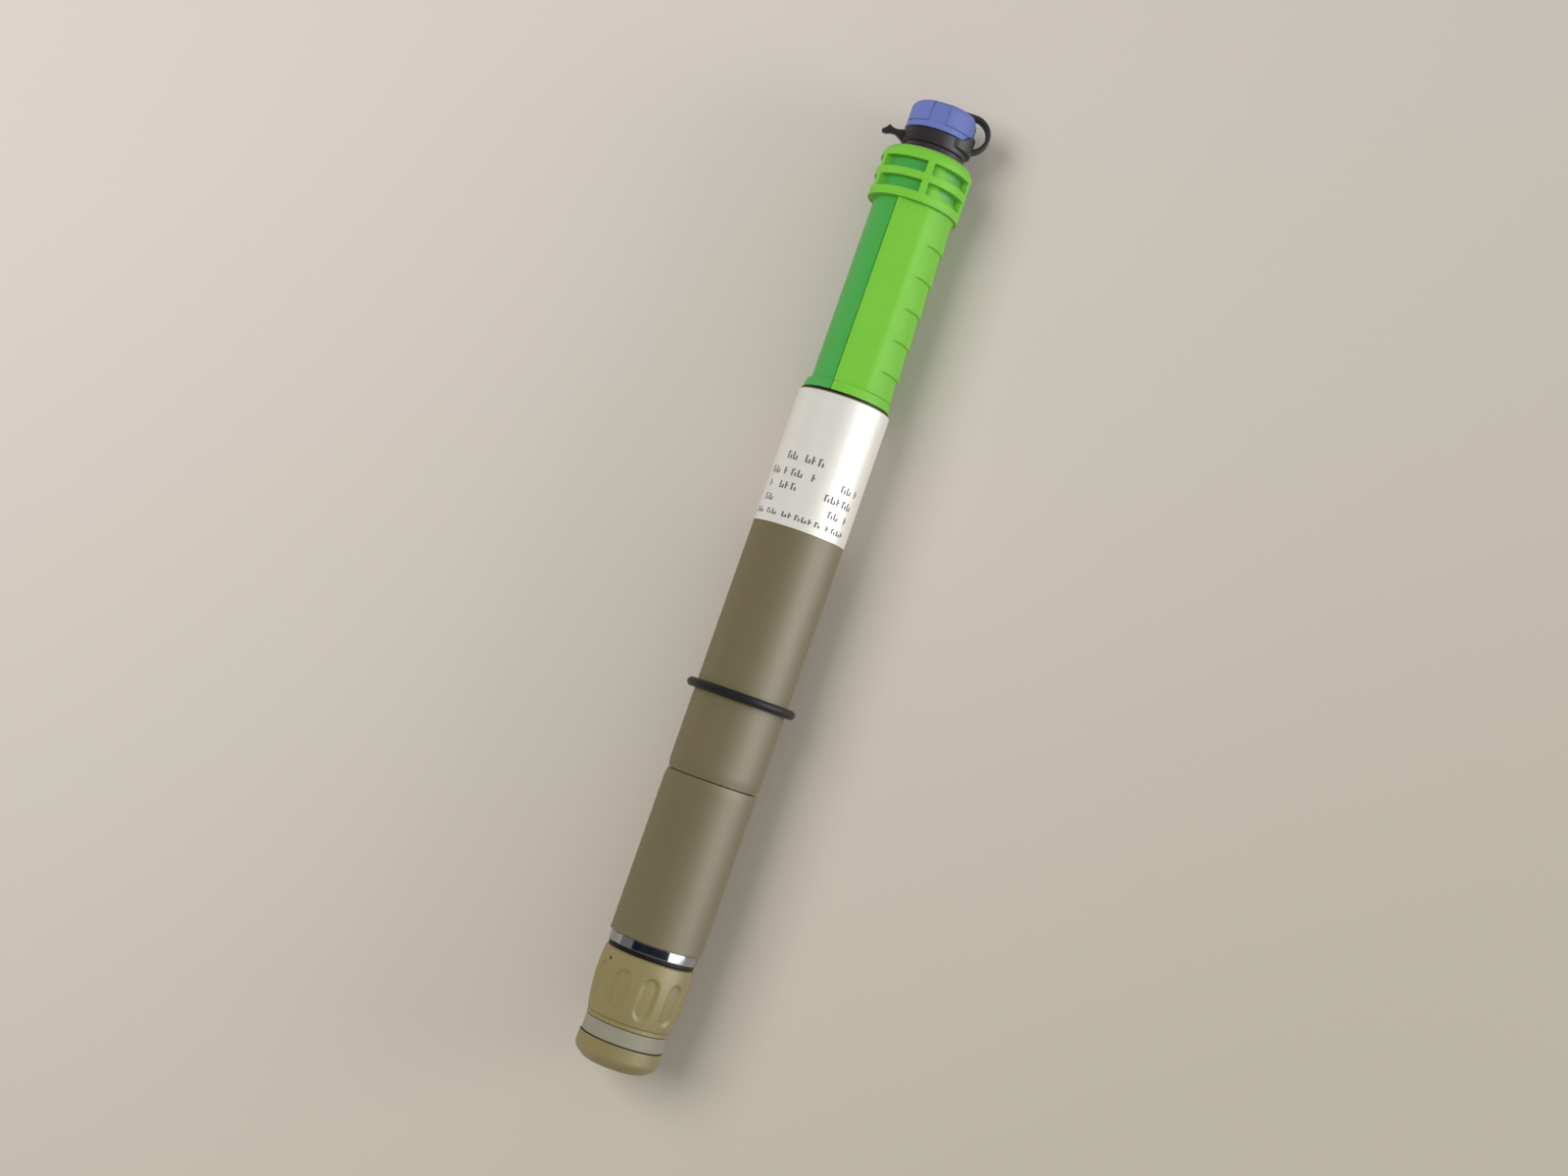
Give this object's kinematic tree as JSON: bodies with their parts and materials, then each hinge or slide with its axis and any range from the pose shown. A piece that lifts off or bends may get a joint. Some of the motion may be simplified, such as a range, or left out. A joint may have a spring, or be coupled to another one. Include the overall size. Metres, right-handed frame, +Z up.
{
  "type": "amperometric sensor cell",
  "caption": "Stick-shaped membrane sensor cell with a fluted union nut, a steel ring, a green handle and a tethered screw cap over its plug.",
  "frame": {"origin": "middle of the footprint, on the surface that the cell lies on", "axes": "+X along the cell from its tip to its cap, +Z up"},
  "size_m": [0.269, 0.03, 0.0301],
  "materials": {
    "clamp_plastic": "satin",
    "nut_plastic": "satin",
    "housing_plastic": "satin",
    "band_silicone": "matt",
    "seal_rubber": "matt",
    "ring_rubber": "satin",
    "strap_rubber": "matt",
    "ring_steel": "polished",
    "label_foil": "satin",
    "core_plastic": "satin",
    "grip_plastic": "satin",
    "connector_plastic": "satin",
    "cap_plastic": "satin",
    "stud_plastic": "satin",
    "membrane_film": "satin",
    "holder_plastic": "satin",
    "shaft_plastic": "satin",
    "pin_gold": "polished",
    "sleeve_silver": "satin",
    "sensor_bead": "gloss",
    "potting_resin": "gloss",
    "lead_copper": "satin",
    "board_laminate": "satin",
    "header_plastic": "matt",
    "chip_plastic": "matt",
    "capacitor_can": "satin",
    "support_plastic": "satin",
    "insert_plastic": "satin",
    "nut_brass": "satin"
  },
  "bodies": {
    "housing": {"cap_seal_ring": "seal_rubber", "counter_electrode": "ring_steel", "lower_housing": "housing_plastic", "upper_housing": "housing_plastic", "label_sleeve": "label_foil", "handle_gasket": "seal_rubber", "handle_core": "core_plastic", "handle_grip": "grip_plastic", "connector_shell": "connector_plastic", "electrode_shaft": "shaft_plastic", "working_electrode": "pin_gold", "reference_electrode": "sleeve_silver", "temperature_sensor": "sensor_bead", "shaft_o_ring": "seal_rubber", "potting_plug": "potting_resin", "housing_o_ring": "seal_rubber", "electrode_leads": "lead_copper", "circuit_board": "board_laminate", "lead_headers": "header_plastic", "board_chips": "chip_plastic", "board_capacitors": "capacitor_can", "board_supports": "support_plastic", "connector_leads": "lead_copper", "connector_insert": "insert_plastic", "contact_pins": "pin_gold", "connector_nut": "nut_brass", "connector_seal": "seal_rubber"},
    "travel_ring": {"position_ring": "ring_rubber"},
    "tether": {"tether_strap": "strap_rubber"},
    "stud": {"tether_stud": "stud_plastic"},
    "cap": {"dust_cap": "cap_plastic", "cap_gasket": "seal_rubber"},
    "holder": {"membrane_holder": "holder_plastic", "membrane_disc": "membrane_film", "membrane_clamp": "clamp_plastic", "clamp_gasket": "seal_rubber", "vent_band": "band_silicone"},
    "nut": {"grip_nut": "nut_plastic"}
  },
  "joints": [
    {"name": "ring_slide", "type": "slide", "parent": "housing", "child": "travel_ring", "axis": [0.9999, 0, -0.0164], "range_m": [-0.019, 0.044]},
    {"name": "tether_swivel", "type": "hinge", "parent": "housing", "child": "tether", "pos_m": [0.12308, 0, 0.01249], "axis": [0.9999, 0, -0.0164], "continuous": true},
    {"name": "cap_rise", "type": "slide", "parent": "tether", "child": "stud", "axis": [0.9999, 0, -0.0164], "range_m": [0, 0.005], "deforming": ["tether_strap"]},
    {"name": "cap_turn", "type": "hinge", "parent": "stud", "child": "cap", "pos_m": [0.12908, 0, 0.01239], "axis": [0.9999, 0, -0.0164], "range_deg": [0, 2400]},
    {"name": "holder_draw", "type": "slide", "parent": "housing", "child": "holder", "axis": [-0.9999, 0, 0.0164], "range_m": [0, 0.009]},
    {"name": "nut_turn", "type": "hinge", "parent": "holder", "child": "nut", "pos_m": [-0.11439, 0, 0.01637], "axis": [-0.9999, 0, 0.0164], "range_deg": [0, 1620]}
  ],
  "couplings": [
    {"joint": "cap_turn", "follows": "cap_rise", "rad_per_m": 8377.6},
    {"joint": "nut_turn", "follows": "holder_draw", "rad_per_m": 3141.6}
  ]
}
